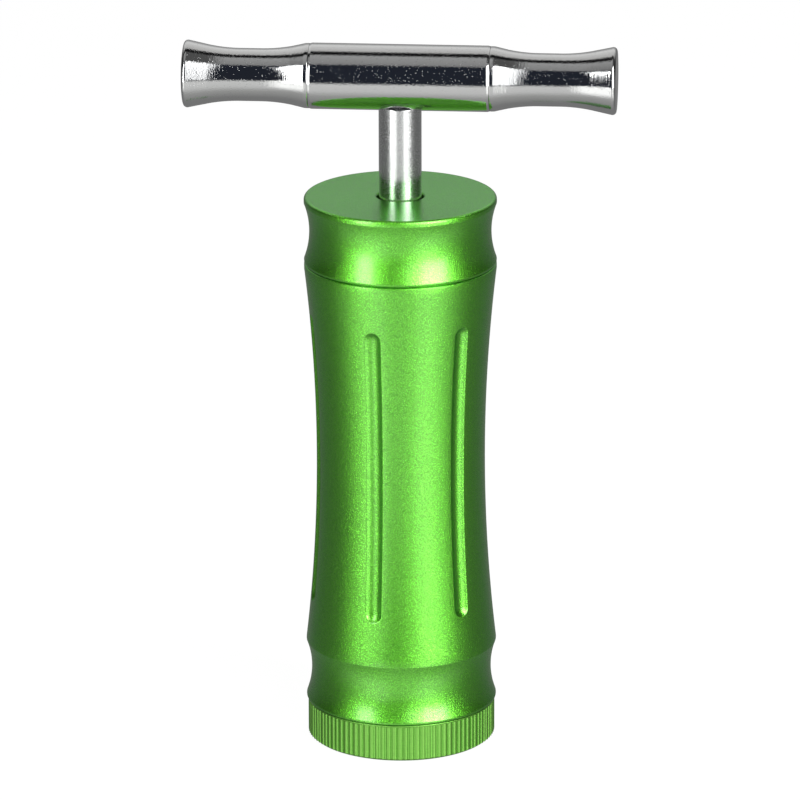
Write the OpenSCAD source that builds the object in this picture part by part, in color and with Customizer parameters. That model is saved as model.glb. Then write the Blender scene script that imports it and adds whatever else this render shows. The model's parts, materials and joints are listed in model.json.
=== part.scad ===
// T-handle screw press for loose powder, about 79 x 35 x 132 mm.
// The origin is the middle of the base cap's underside. +Z is up along the screw,
// and +X runs along the T-bar to the right grip.

/* [Overall] */
// Largest diameter of the body and the top cap
body_d = 35.2; // [35:0.1:35.4]
// Height of the seam between the base cap and the body
base_z = 7; // [6.9:0.05:7.1]
// Height of the seam between the body and the top cap
seam_z = 91; // [90.8:0.1:91.2]
// Height of the flat top face of the top cap
top_z = 103.5; // [103.3:0.1:103.8]
// Height of the T-bar's axis
bar_z = 125.7; // [125.4:0.1:126]

/* [Body and caps] */
// Diameter at the waist of the body
waist_d = 31; // [30.8:0.1:31.3]
// Height of the ridge where the waist curve meets the lower cove
ridge_z = 18.5; // [18.3:0.1:18.7]
// Depth of the coves in the body and the top cap
cove_depth = 0.97; // [0.8:0.01:1.1]
// Diameter of the reeded base cap over its ribs
base_d = 34.7; // [34.4:0.1:34.9]
// Number of ribs round the base cap
rib_count = 100; // [80:1:120]
// Depth of the grooves between the ribs
rib_depth = 0.28; // [0.2:0.02:0.4]

/* [Flutes] */
// Number of flutes round the body
flute_count = 6; // [4:1:8]
// Length of a flute over its round ends
flute_len = 56; // [50:1:58]
// Width of a flute
flute_w = 3; // [2.4:0.1:3.4]
// Depth of a flute
flute_depth = 0.7; // [0.5:0.05:0.9]
// Turn of the first flute from the front towards the left grip
flute_turn = 13.5; // [0:0.5:30]

/* [Threads] */
// Pitch of the screw thread and the two body threads
pitch = 1.5; // [1.4:0.05:1.55]
// Outside diameter of the two body threads
body_thread_d = 28; // [27.8:0.1:28.2]
// Outside diameter of the drive screw's thread
screw_thread_d = 10; // [9.9:0.05:10.1]
// Play along the thread between two flanks
flank_gap = 0.12; // [0.1:0.01:0.16]

/* [Chamber] */
// Inside diameter of the steel liner
bore_d = 20; // [19.8:0.1:20.2]
// Wall of the steel liner
liner_wall = 1.5; // [1.3:0.1:1.6]
// Radial gap of the piston and the lower dowel in the liner
running_gap = 0.05; // [0.03:0.01:0.08]
// Height of the lower dowel's working face
dowel_top_z = 28.4; // [27:0.1:28.4]
// Height of the piston's working face when the screw is fully raised
piston_face_z = 44; // [44:0.1:44.4]

/* [T-bar] */
// Length of the hub
hub_len = 32.8; // [32:0.2:34]
// Diameter of the hub
hub_d = 12; // [11.8:0.1:12.2]
// Length of each grip
grip_len = 22.9; // [22:0.1:24]
// Diameter of a grip at the hub
grip_seam_d = 11.9; // [11.7:0.1:12]
// Diameter of a grip at its waist
grip_waist_d = 9.6; // [9.4:0.1:9.8]
// Slope of the flares at both ends of a grip
flare_angle = 10.8; // [10:0.1:11.5]
// Radius that blends a flare into the waist
blend_r = 30; // [26:1:32]
// Diameter of the smooth shank below the hub
shank_d = 7.8; // [7.6:0.1:7.9]
// Diameter of the hole in the top cap
hole_d = 8.6; // [8.5:0.05:8.8]

/* [Hidden] */
$fn = 96;

GREEN = "#54c423";
BASE_GREEN = "#7fd63f";
CHROME = "#c9ccd1";
STEEL = "#a9adb2";
BRASS = "#c9a24a";
RUBBER = "#2a2a2c";
PTFE = "#ecebe6";

// Threads: radii of the body threads and the screw thread, 60 degree flanks
thread_play = 0.1;
thread_depth = 0.6134 * pitch;
bury = 0.3;
body_tr = body_thread_d / 2;
body_mid = body_tr - 0.3248 * pitch;
body_core = body_tr - thread_depth;
body_bore = body_tr + thread_play;
screw_tr = screw_thread_d / 2;
screw_mid = screw_tr - 0.3248 * pitch;
screw_core = screw_tr - thread_depth;
nut_bore = screw_tr + thread_play;

// Heights inside the press, from the bottom up
spigot_top_z = base_z + 10;
dowel_seat_z = spigot_top_z - 3.5;
lip_z = spigot_top_z + 0.5;
liner_bottom_z = lip_z + 0.7;
liner_top_z = seam_z - 13.5;
flange_z = seam_z - 12.5;
spigot_low_z = seam_z - 9.5;
nut_low_z = seam_z - 21;
nut_top_z = seam_z - 1;
pocket_z = top_z - 3.8;
piston_len = 25;
piston_top_z = piston_face_z + piston_len;
wiper_z = piston_face_z + 3;
wiper_h = 1.6;

// Where each male thread starts: its mate starts half a pitch away, so that they mesh
base_thread_z = base_z + 1.7;
cap_thread_z = spigot_low_z + 0.9;
nut_thread_z = nut_low_z + 0.9;

liner_r = bore_d / 2;
liner_outer_r = liner_r + liner_wall;
piston_r = liner_r - running_gap;

// Seal rings
seal_r = 0.5;
base_seal_r = body_tr + 0.55;
base_seal_z = base_z + 0.55;
cap_neck_r = body_core - 0.1;
cap_seal_r = cap_neck_r + seal_r + 0.03;
cap_seal_z = seam_z - 0.6;

// Brass nut and its screws
nut_r = 9;
nut_flange_r = 13;
nut_screw_circle = 11;
nut_screw_r = 1;

// Screw nose, its groove and the pins that hold it in the piston
nose_r = 3;
nose_z = piston_top_z - 6.8;
groove_r = 2.15;
groove_h = 1.9;
pin_r = 0.75;
pin_z = piston_top_z - 3.7;
pin_len = 18;
ball_r = 1.5;

// T-bar
hub_r = hub_d / 2;
tenon_r = 3;
tenon_top_z = bar_z + 2.6;
tenon_flat = tenon_r - 0.6;
counterbore_r = 4.2;
counterbore_z = bar_z - hub_r + 0.8;
stud_r = 3;
stud_hub_len = 8.8;
stud_len = 18.8;
end_flare_len = 4.6;

// Points of an arc from angle a0 to angle a1
function arc(c, r, a0, a1, n) = [
    for (i = [0 : n])
    let (a = a0 + (a1 - a0) * i / n)
    [c[0] + r * cos(a), c[1] + r * sin(a)]
];

// Radius of the arc whose chord is 2 * half long and whose depth is d
function sagitta_r(half, d) = (half * half + d * d) / (2 * d);

// Width of a thread tooth at radius r: side is 1 outside a rod, -1 inside a bore
function tooth_w(mid, r, side) = pitch / 2 - side * 2 * (r - mid) * tan(30) - flank_gap;

// A thread's end runs out into its wall over a quarter turn
function run_out(a, total) = max(0.12, min(1, a / 90, (total - a) / 90));

// One helical ridge, its foot buried in the rod or the bore that carries it
module thread(wall_r, crest_r, mid, low_z, high_z, steps) {
    side = crest_r > wall_r ? 1 : -1;
    root_r = wall_r - side * bury;
    root_w = tooth_w(mid, wall_r, side);
    crest_w = tooth_w(mid, crest_r, side);
    count = floor((high_z - low_z) / pitch * steps);
    total = count * 360 / steps;
    points = [
        for (i = [0 : count])
        let (
            a = i * 360 / steps,
            z = low_z + pitch * a / 360,
            r = root_r + (crest_r - root_r) * run_out(a, total)
        )
        for (p = [[root_r, -root_w], [r, -crest_w], [r, crest_w], [root_r, root_w]])
        [p[0] * cos(a), p[0] * sin(a), z + p[1] / 2]
    ];
    skin = [
        for (i = [0 : count - 1])
        for (k = [0 : 3])
        let (a = 4 * i + k, b = 4 * i + (k + 1) % 4)
        for (f = [[a, a + 4, b + 4], [a, b + 4, b]])
        side < 0 ? f : [f[2], f[1], f[0]]
    ];
    n = 4 * count;
    low_end = side < 0 ? [0, 1, 2, 3] : [3, 2, 1, 0];
    high_end = side < 0 ? [n + 3, n + 2, n + 1, n] : [n, n + 1, n + 2, n + 3];
    polyhedron(points = points, faces = concat(skin, [low_end, high_end]), convexity = 10);
}

module body_male(low_z, high_z) {
    thread(body_core, body_tr - 0.05, body_mid, low_z, high_z, 48);
}

module body_female(low_z, high_z) {
    thread(body_bore, body_core + 0.17, body_mid, low_z, high_z, 48);
}

// Circle that cuts a hollow of the given depth into an outline at radius r
module hollow(r, depth, low_z, high_z) {
    curve_r = sagitta_r((high_z - low_z) / 2, depth);
    translate([r - depth + curve_r, (low_z + high_z) / 2]) circle(r = curve_r, $fn = 1080);
}

module ring(inner_r, outer_r, low_z, high_z) {
    translate([inner_r, low_z]) square([outer_r - inner_r, high_z - low_z]);
}

// Small screws and studs: a rod with shallow ring grooves for its fine thread
module grooved_rod(r, len) {
    groove = 0.75;
    depth = 0.3;
    tip = 0.5;
    teeth = floor((len - 2 * tip) / groove);
    start = (len - teeth * groove) / 2;
    outline = [
        for (i = [0 : teeth - 1])
        for (p = [[r, 0.15], [r, 0.3], [r - depth, 0.6]])
        [p[0], start + i * groove + p[1]]
    ];
    rotate_extrude()
        polygon(concat([[0, 0], [r - depth, 0], [r - depth, start]], outline, [[r - depth, len], [0, len]]));
}

// ---- body ----

waist_low_z = ridge_z + 0.1;
seam_chamfer = 0.2;
waist_high_z = seam_z - 1;
waist_half = (waist_high_z - waist_low_z) / 2;
waist_mid_z = waist_low_z + waist_half;
waist_arc_r = sagitta_r(waist_half, (body_d - waist_d) / 2);
waist_axis = waist_d / 2 + waist_arc_r;

module body_outline() {
    r = body_d / 2;
    difference() {
        polygon([
            [0, base_z],
            [r - 2 * seam_chamfer, base_z],
            [r, base_z + 1.5 * seam_chamfer],
            [r, seam_z - seam_chamfer],
            [r - seam_chamfer, seam_z],
            [0, seam_z]
        ]);
        hollow(r, cove_depth, base_z + 0.65, ridge_z - 0.1);
        hollow(r, (body_d - waist_d) / 2, waist_low_z, waist_high_z);
    }
}

// Round-ended groove that follows the waist curve at a constant depth. The balls at its ends sit just
// inside the swept tube, so that they don't touch it along a whole circle.
module flute() {
    cutter_r = sagitta_r(flute_w / 2, flute_depth);
    path_r = waist_arc_r - (cutter_r - flute_depth);
    half_turn = asin((flute_len / 2 - flute_w / 2) / path_r);
    ball_turn = half_turn - asin(0.15 / path_r);
    translate([waist_axis, 0, waist_mid_z])
        rotate([90, 0, 0]) {
            rotate([0, 0, 180 - half_turn])
                rotate_extrude(angle = 2 * half_turn, $fn = 960)
                    translate([path_r, 0]) circle(r = cutter_r, $fn = 48);
            for (a = [180 - ball_turn, 180 + ball_turn])
                rotate([0, 0, a]) translate([path_r, 0, 0]) sphere(r = cutter_r - 0.03, $fn = 48);
        }
}

module main_body() {
    color(GREEN) {
        difference() {
            rotate_extrude()
                difference() {
                    body_outline();
                    ring(0, body_bore, base_z, lip_z);
                    ring(0, base_seal_r + seal_r + 0.1, base_z, base_seal_z + seal_r + 0.1);
                    ring(0, liner_r + 0.6, lip_z, liner_bottom_z);
                    ring(0, liner_outer_r, liner_bottom_z, liner_top_z + 0.5);
                    ring(0, nut_flange_r + 0.3, liner_top_z + 0.5, spigot_low_z);
                    ring(0, body_bore, spigot_low_z, seam_z);
                    ring(0, cap_seal_r + seal_r + 0.15, cap_seal_z - seal_r - 0.2, seam_z);
                }
            for (i = [0 : flute_count - 1])
                rotate([0, 0, -90 - flute_turn + i * 360 / flute_count]) flute();
        }
        body_female(base_thread_z + pitch / 2, spigot_top_z - 0.4);
        body_female(cap_thread_z + pitch / 2, cap_seal_z - 1.6);
    }
}

module chamber_liner() {
    color(STEEL)
        rotate_extrude() ring(liner_r, liner_outer_r, liner_bottom_z, liner_top_z);
}

module base_seal() {
    color(RUBBER)
        rotate_extrude() translate([base_seal_r, base_seal_z]) circle(r = seal_r, $fn = 32);
}

// ---- base cap ----

module base_cap() {
    r = base_d / 2;
    root_r = r - rib_depth;
    step = 360 / rib_count;
    chamfer = 0.4;
    collar = 0.3;
    ribs = [
        for (i = [0 : rib_count - 1])
        for (p = [[root_r, -0.36], [r, -0.24], [r, 0.24], [root_r, 0.36]])
        let (a = (i + p[1]) * step)
        [p[0] * cos(a), p[0] * sin(a)]
    ];
    color(BASE_GREEN) {
        difference() {
            union() {
                rotate_extrude()
                    polygon([
                        [0, 0],
                        [root_r - chamfer, 0],
                        [root_r, chamfer],
                        [root_r, base_z - 0.02],
                        [body_core, base_z - 0.02],
                        [body_core, spigot_top_z - 0.3],
                        [body_core - 0.3, spigot_top_z],
                        [0, spigot_top_z]
                    ]);
                translate([0, 0, chamfer])
                    linear_extrude(height = base_z - chamfer - collar) polygon(ribs);
            }
            translate([0, 0, dowel_seat_z]) cylinder(r = liner_r + 0.05, h = spigot_top_z);
        }
        body_male(base_thread_z, spigot_top_z - 0.9);
    }
}

module lower_dowel() {
    edge = 0.3;
    color(STEEL)
        rotate_extrude()
            polygon([
                [0, dowel_seat_z],
                [piston_r - edge, dowel_seat_z],
                [piston_r, dowel_seat_z + edge],
                [piston_r, dowel_top_z - edge],
                [piston_r - edge, dowel_top_z],
                [0, dowel_top_z]
            ]);
}

// ---- top cap ----

cap_low_z = seam_z + 0.02;
rim_fillet = 0.6;
edge_fillet = 0.7;

module cap_outline() {
    r = body_d / 2;
    neck_z = cap_seal_z - seal_r - 0.2;
    difference() {
        polygon(concat(
            [[0, spigot_low_z], [body_core - 0.3, spigot_low_z], [body_core, spigot_low_z + 0.3]],
            [[body_core, neck_z], [cap_neck_r, neck_z], [cap_neck_r, cap_low_z]],
            arc([r - edge_fillet, cap_low_z + 0.52], edge_fillet, -48, 0, 6),
            arc([r - rim_fillet, top_z - rim_fillet], rim_fillet, 0, 90, 6),
            [[0, top_z]]
        ));
        hollow(r, cove_depth, seam_z + 0.65, top_z - 1.1);
    }
}

module top_cap() {
    color(GREEN) {
        difference() {
            rotate_extrude()
                difference() {
                    cap_outline();
                    ring(0, nut_r + 0.05, spigot_low_z, nut_top_z);
                    ring(0, nut_bore + 0.5, nut_top_z, pocket_z);
                    ring(0, hole_d / 2, pocket_z, top_z);
                }
            at_nut_screws() translate([0, 0, spigot_low_z - 0.5]) cylinder(r = nut_screw_r, h = 5.5);
        }
        body_male(cap_thread_z, cap_seal_z - 1.4);
    }
}

module cap_seal() {
    color(RUBBER)
        rotate_extrude() translate([cap_seal_r, cap_seal_z]) circle(r = seal_r, $fn = 32);
}

// ---- nut ----

module at_nut_screws() {
    for (a = [30 : 120 : 270])
        rotate([0, 0, a]) translate([nut_screw_circle, 0, 0]) children();
}

// Screw outline with a countersunk head at its lower end
module nut_screw_outline(extra, length, low) {
    head_r = 1.85;
    polygon([
        [0, low],
        [head_r + extra, low],
        [head_r + extra, 0.2],
        [nut_screw_r + extra, head_r - nut_screw_r + 0.2],
        [nut_screw_r + extra, length],
        [0, length]
    ]);
}

module drive_nut() {
    color(BRASS) {
        difference() {
            rotate_extrude() {
                ring(nut_bore, nut_r, nut_low_z, spigot_low_z);
                ring(nut_bore + 0.2, nut_r, spigot_low_z, nut_top_z - 0.5);
                ring(nut_bore, nut_flange_r, flange_z, spigot_low_z);
            }
            at_nut_screws()
                translate([0, 0, flange_z + 0.1]) rotate_extrude() nut_screw_outline(0.06, 4, -0.2);
        }
        thread(nut_bore, screw_core + 0.17, screw_mid, nut_thread_z, spigot_low_z - 0.6, 24);
    }
}

module nut_screws() {
    color(STEEL)
        at_nut_screws()
            translate([0, 0, flange_z + 0.1])
                difference() {
                    rotate_extrude() nut_screw_outline(0, 7.5, 0);
                    translate([0, 0, -0.5]) cylinder(r = 0.75, h = 1.3, $fn = 6);
                }
}

// ---- drive screw ----

module drive_screw() {
    thread_low_z = piston_top_z + 0.5;
    thread_top_z = pocket_z - 0.5;
    color(STEEL) {
        difference() {
            rotate_extrude() {
                ring(0, nose_r, nose_z, pin_z - groove_h / 2);
                ring(0, groove_r, nose_z, thread_low_z + 1);
                ring(0, nose_r, pin_z + groove_h / 2, thread_low_z + 1);
                polygon([
                    [0, thread_low_z],
                    [screw_core - 0.6, thread_low_z],
                    [screw_core, thread_low_z + 0.6],
                    [screw_core, thread_top_z],
                    [shank_d / 2, thread_top_z],
                    [shank_d / 2, counterbore_z - 0.05],
                    [0, counterbore_z - 0.05]
                ]);
                ring(0, tenon_r - 0.02, counterbore_z - 1, tenon_top_z - 0.2);
            }
            translate([tenon_flat, -5, bar_z - 3]) cube([5, 10, 10]);
        }
        thread(screw_core, screw_tr - 0.05, screw_mid, nut_thread_z - pitch / 2, thread_top_z - 0.8, 24);
    }
}

// ---- T-bar ----

module along_bar() {
    translate([0, 0, bar_z]) rotate([0, 90, 0]) children();
}

module handle_hub() {
    chamfer = 0.3;
    half = hub_len / 2;
    below = bar_z - hub_r - 1;
    color(CHROME)
        difference() {
            along_bar()
                rotate_extrude()
                    polygon([
                        [stud_r + 0.02, -half],
                        [hub_r - chamfer, -half],
                        [hub_r, -half + chamfer],
                        [hub_r, half - chamfer],
                        [hub_r - chamfer, half],
                        [stud_r + 0.02, half]
                    ]);
            translate([0, 0, below]) cylinder(r = tenon_r, h = tenon_top_z - below);
            translate([0, 0, below]) cylinder(r = counterbore_r, h = counterbore_z - below);
        }
}

// Outline of a grip from the hub at height 0 to its free end
module grip_outline() {
    seam_r = grip_seam_d / 2;
    waist_r = grip_waist_d / 2;
    chamfer = 0.2;
    edge = 0.9;
    blend_h = blend_r * sin(flare_angle);
    blend_drop = blend_r * (1 - cos(flare_angle));
    near_h = (seam_r - waist_r - blend_drop) / tan(flare_angle);
    far_h = grip_len - end_flare_len;
    end_r = waist_r + blend_drop + end_flare_len * tan(flare_angle);
    centre_r = end_r - edge - edge * tan(flare_angle) / 2;
    polygon(concat(
        [[0, 0], [seam_r - chamfer, 0], [seam_r, chamfer]],
        arc([waist_r + blend_r, near_h + blend_h], blend_r, 180 + flare_angle, 180, 10),
        arc([waist_r + blend_r, far_h - blend_h], blend_r, 180, 180 - flare_angle, 10),
        arc([centre_r, grip_len - edge], edge, -flare_angle, 90, 8),
        [[0, grip_len]]
    ));
}

module grip() {
    color(CHROME)
        difference() {
            rotate_extrude() grip_outline();
            translate([0, 0, -1]) cylinder(r = stud_r + 0.02, h = stud_len - stud_hub_len + 1.5);
        }
}

module right_grip() {
    along_bar() translate([0, 0, hub_len / 2]) grip();
}

module left_grip() {
    along_bar() mirror([0, 0, 1]) translate([0, 0, hub_len / 2]) grip();
}

module right_grip_stud() {
    color(STEEL)
        along_bar() translate([0, 0, hub_len / 2 - stud_hub_len]) grooved_rod(stud_r, stud_len);
}

module left_grip_stud() {
    color(STEEL)
        along_bar() mirror([0, 0, 1])
            translate([0, 0, hub_len / 2 - stud_hub_len]) grooved_rod(stud_r, stud_len);
}

module hub_set_screw() {
    length = 4.9;
    color(STEEL)
        along_bar()
            translate([0, 0, tenon_flat])
                difference() {
                    grooved_rod(stud_r, length);
                    translate([0, 0, length - 2]) cylinder(r = 1.5, h = 3, $fn = 6);
                }
}

// ---- piston ----

module press_piston() {
    edge = 0.3;
    color(STEEL)
        difference() {
            rotate_extrude()
                difference() {
                    polygon([
                        [0, piston_face_z],
                        [piston_r - edge, piston_face_z],
                        [piston_r, piston_face_z + edge],
                        [piston_r, piston_top_z - edge],
                        [piston_r - edge, piston_top_z],
                        [0, piston_top_z]
                    ]);
                    ring(liner_r - 1.2, liner_r, wiper_z, wiper_z + wiper_h + 0.1);
                    ring(0, nose_r + 0.06, nose_z - 0.25, piston_top_z);
                    ring(0, ball_r + 0.02, nose_z - 2 * ball_r, piston_top_z);
                }
            at_pins() cylinder(r = pin_r, h = 2 * liner_r + 2, center = true);
        }
}

module at_pins() {
    for (side = [-1, 1])
        translate([0, side * (groove_r + pin_r + 0.1), pin_z]) rotate([0, 90, 0]) children();
}

module piston_pins() {
    color(STEEL)
        at_pins() cylinder(r = pin_r, h = pin_len, center = true);
}

module piston_ring() {
    color(PTFE)
        rotate_extrude() ring(liner_r - 1.15, liner_r - 0.02, wiper_z + 0.05, wiper_z + 0.05 + wiper_h);
}

module thrust_ball() {
    color(STEEL)
        translate([0, 0, nose_z - ball_r]) sphere(r = ball_r);
}

main_body();
chamber_liner();
top_cap();
base_cap();
cap_seal();
base_seal();
drive_nut();
nut_screws();
drive_screw();
handle_hub();
left_grip();
right_grip();
left_grip_stud();
right_grip_stud();
hub_set_screw();
press_piston();
piston_ring();
piston_pins();
thrust_ball();
lower_dowel();
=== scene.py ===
import json
import math

import bmesh
import bpy
from mathutils import Matrix, Vector


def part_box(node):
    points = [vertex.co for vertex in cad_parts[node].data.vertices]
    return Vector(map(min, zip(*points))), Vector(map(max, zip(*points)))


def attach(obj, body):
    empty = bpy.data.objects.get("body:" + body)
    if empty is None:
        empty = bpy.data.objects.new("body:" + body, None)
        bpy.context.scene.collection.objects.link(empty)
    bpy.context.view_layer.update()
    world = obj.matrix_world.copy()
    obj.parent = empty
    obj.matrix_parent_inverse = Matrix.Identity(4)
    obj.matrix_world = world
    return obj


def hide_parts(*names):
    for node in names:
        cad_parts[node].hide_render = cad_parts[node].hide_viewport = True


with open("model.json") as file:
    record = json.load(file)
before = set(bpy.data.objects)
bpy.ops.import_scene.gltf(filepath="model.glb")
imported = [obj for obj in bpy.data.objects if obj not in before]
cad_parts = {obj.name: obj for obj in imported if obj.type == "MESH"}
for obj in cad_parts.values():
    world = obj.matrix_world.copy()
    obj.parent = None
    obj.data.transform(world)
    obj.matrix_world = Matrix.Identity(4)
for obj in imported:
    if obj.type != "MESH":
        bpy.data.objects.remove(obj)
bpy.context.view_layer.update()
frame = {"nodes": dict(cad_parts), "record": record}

# A T-handle screw press: green anodised aluminium body and caps, chromed T-bar, plated shank.
# All sizes are metres, in the frame's own place, with +Z up along the screw.

MM = 0.001


# ---------------------------------------------------------------- sizes from the frame

def top(node):
    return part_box(node)[1]


def bottom(node):
    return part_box(node)[0]


BODY_R = top("main_body").x
BASE_R = top("base_cap").x
BASE_TOP = bottom("main_body").z
SEAM = top("main_body").z
CAP_TOP = top("top_cap").z
CAP_LOW = bottom("top_cap").z
SPIGOT_TOP = top("base_cap").z
BAR_Z = (top("handle_hub").z + bottom("handle_hub").z) / 2
HUB_HALF = top("handle_hub").x
HUB_R = top("handle_hub").y
GRIP_END = top("right_grip").x
SCREW_LOW = bottom("drive_screw").z
SCREW_TOP = top("drive_screw").z
LINER_OUT = top("chamber_liner").x
LINER_LOW = bottom("chamber_liner").z
LINER_TOP = top("chamber_liner").z
NUT_FLANGE_R = top("drive_nut").x
NUT_TOP = top("drive_nut").z
BASE_SEAL_R = top("base_seal").x
CAP_SEAL_LOW = bottom("cap_seal").z
CAP_SEAL_R = top("cap_seal").x

PITCH = 1.5 * MM
BODY_THREAD_R = 14 * MM
BODY_CORE_R = BODY_THREAD_R - 0.6134 * PITCH
BODY_BORE_R = BODY_THREAD_R + 0.1 * MM
SCREW_CORE_R = 5 * MM - 0.6134 * PITCH
SHANK_R = 3.9 * MM
TENON_R = 2.98 * MM
NOSE_R = 3 * MM
NECK_R = 2.15 * MM
HOLE_R = 4.3 * MM
SCREW_ROOM_R = 5.6 * MM
NUT_SEAT_R = 9.05 * MM
DOWEL_SEAT_R = 10.05 * MM
WAIST_R = 15.5 * MM
RIDGE_Z = 18.5 * MM
COVE_DEPTH = 0.97 * MM
FLUTES = 6
FLUTE_LEN = 55.4 * MM
FLUTE_W = 3 * MM
FLUTE_DEPTH = 0.7 * MM
FLUTE_TURN = math.radians(-90 - 13.5)
# Heights between which each thread ridge climbs.
BASE_THREAD = (8.7 * MM, 16.1 * MM)
CAP_THREAD = (82.4 * MM, 89 * MM)
BODY_LOW_THREAD = (9.45 * MM, 16.6 * MM)
BODY_TOP_THREAD = (83.15 * MM, 88.8 * MM)
SCREW_THREAD = (70.15 * MM, 98.4 * MM)
# Widths of a thread's tooth at its root and at its crest.
MALE_TOOTH = (1.13 * MM, 0.13 * MM)
FEMALE_TOOTH = (1.31 * MM, 0.33 * MM)
MALE_CREST_R = BODY_THREAD_R - 0.05 * MM
FEMALE_CREST_R = BODY_THREAD_R - 0.75 * MM
SCREW_CREST_R = 4.95 * MM
THREAD_SINK = 0.03 * MM


# ---------------------------------------------------------------- outlines

def arc(centre, r, a0, a1, n):
    """Points of an arc between two angles in degrees."""
    out = []
    for i in range(n + 1):
        a = math.radians(a0 + (a1 - a0) * i / n)
        out.append((centre[0] + r * math.cos(a), centre[1] + r * math.sin(a)))
    return out


def hollow(r, depth, low, high, n):
    """A shallow concave curve up an outline at radius r."""
    half = (high - low) / 2
    curve_r = (half * half + depth * depth) / (2 * depth)
    turn = math.degrees(math.asin(half / curve_r))
    return arc((r - depth + curve_r, (low + high) / 2), curve_r, 180 + turn, 180 - turn, n)


SLIGHT_BEND = math.radians(12)


def eased(points, radius, steps=4):
    """Rounds the corners of an open outline, each by at most the given radius."""
    out = [points[0]]
    for a, b, c in zip(points, points[1:], points[2:]):
        a, b, c = Vector(a), Vector(b), Vector(c)
        u, v = (a - b), (c - b)
        if min(u.length, v.length) < SLIVER:
            continue
        bend = math.pi - u.angle(v)
        if bend < SLIGHT_BEND:
            out.append(tuple(b))
            continue
        cut = min(radius * math.tan(bend / 2), u.length * 0.45, v.length * 0.45)
        p, q = b + u.normalized() * cut, b + v.normalized() * cut
        for i in range(steps + 1):
            t = i / steps
            out.append(tuple(p * (1 - t) ** 2 + b * 2 * t * (1 - t) + q * t ** 2))
    out.append(points[-1])
    return out


# ---------------------------------------------------------------- mesh makers

LONG_RUN = 0.8 * MM
HOLD = 0.04 * MM
MERGE = 2e-7
SLIVER = 1e-7


def finished(name, bm, body, material, stands_for=(), sharp=28):
    """Turns a bmesh into a smooth-shaded piece that rides on a body."""
    bmesh.ops.remove_doubles(bm, verts=bm.verts, dist=MERGE)
    bmesh.ops.dissolve_degenerate(bm, edges=bm.edges, dist=SLIVER)
    bmesh.ops.recalc_face_normals(bm, faces=bm.faces)
    mesh = bpy.data.meshes.new(name)
    bm.to_mesh(mesh)
    bm.free()
    mesh.shade_smooth()
    mesh.set_sharp_from_angle(angle=math.radians(sharp))
    mesh.materials.append(material)
    piece = bpy.data.objects.new(name, mesh)
    bpy.context.scene.collection.objects.link(piece)
    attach(piece, body)
    if stands_for:
        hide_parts(*stands_for)
    return piece


def held(rows, closed):
    """Adds a point just inside each end of every long straight run, so that its shading stays straight."""
    out = []
    for a, b in zip(rows, rows[1:] + (rows[:1] if closed else [])):
        out.append(a)
        length = math.dist(a, b)
        if length > LONG_RUN:
            for t in (HOLD / length, 1 - HOLD / length):
                out.append((a[0] + (b[0] - a[0]) * t, a[1] + (b[1] - a[1]) * t))
    return out if closed else out + [rows[-1]]


def turned(rows, axis="Z", steps=160, closed=True):
    """A lathe-turned mesh. rows are (radius, height) points; closed joins the last row to the first."""
    rows = held(rows, closed)
    bm = bmesh.new()
    rings = []
    for r, h in rows:
        ring = []
        count = 1 if r < SLIVER else steps
        for i in range(count):
            a = 2 * math.pi * i / steps
            x, y = r * math.cos(a), r * math.sin(a)
            ring.append(bm.verts.new((x, y, h) if axis == "Z" else (h, x, BAR_Z + y)))
        rings.append(ring)
    pairs = list(zip(rings, rings[1:]))
    if closed:
        pairs.append((rings[-1], rings[0]))
    for low, high in pairs:
        for i in range(steps):
            j = (i + 1) % steps
            quad = [low[i % len(low)], low[j % len(low)], high[j % len(high)], high[i % len(high)]]
            corners = list(dict.fromkeys(quad))
            if len(corners) > 2:
                bm.faces.new(corners)
    return bm


# ---------------------------------------------------------------- shader helpers

def nodes_of(material):
    """A material's nodes and links."""
    return material.node_tree.nodes, material.node_tree.links


def new_material(name, color, metallic, roughness, **more):
    """A Principled material; returns it with its shader and a Texture Coordinate node."""
    material = bpy.data.materials.new(name)
    material.use_nodes = True
    nodes, _ = nodes_of(material)
    shader = nodes["Principled BSDF"]
    shader.inputs["Base Color"].default_value = (*color, 1)
    shader.inputs["Metallic"].default_value = metallic
    shader.inputs["Roughness"].default_value = roughness
    for key, value in more.items():
        shader.inputs[key.replace("_", " ")].default_value = value
    coords = nodes.new("ShaderNodeTexCoord")
    return material, shader, coords


def group(name, inputs, outputs):
    """A new shader node group with named sockets. inputs are (name, default)."""
    tree = bpy.data.node_groups.new(name, "ShaderNodeTree")
    for key, value in inputs:
        kind = "NodeSocketVector" if value is None else "NodeSocketFloat"
        socket = tree.interface.new_socket(key, in_out="INPUT", socket_type=kind)
        if value is not None:
            socket.default_value = value
    for key in outputs:
        tree.interface.new_socket(key, in_out="OUTPUT", socket_type="NodeSocketFloat")
    return tree, tree.nodes.new("NodeGroupInput"), tree.nodes.new("NodeGroupOutput")


def math_node(tree, op, a, b=None, clamp=False):
    """A Math node's result; a and b are sockets or numbers."""
    node = tree.nodes.new("ShaderNodeMath")
    node.operation = op
    node.use_clamp = clamp
    for i, value in enumerate((a, b)):
        if value is None:
            continue
        if isinstance(value, (int, float)):
            node.inputs[i].default_value = value
        else:
            tree.links.new(value, node.inputs[i])
    return node.outputs[0]


def noise(tree, vector, scale, detail, rough=0.5):
    """A Noise Texture's value; scale is a socket."""
    node = tree.nodes.new("ShaderNodeTexNoise")
    tree.links.new(vector, node.inputs["Vector"])
    tree.links.new(scale, node.inputs["Scale"])
    node.inputs["Detail"].default_value = detail
    node.inputs["Roughness"].default_value = rough
    return node.outputs["Fac"]


# Blast grain: its cells and its mottle as parts of the given scale, and where specks start and how sharply.
CELL_SCALE = 0.6
MOTTLE_SCALE = 0.03
SPECK_FROM = 0.42
SPECK_CONTRAST = 6.0
# Pits: how steep their walls are, and the share of cells without one.
PIT_STEEPNESS = 3.6
PITLESS_SHARE = 0.78


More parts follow.
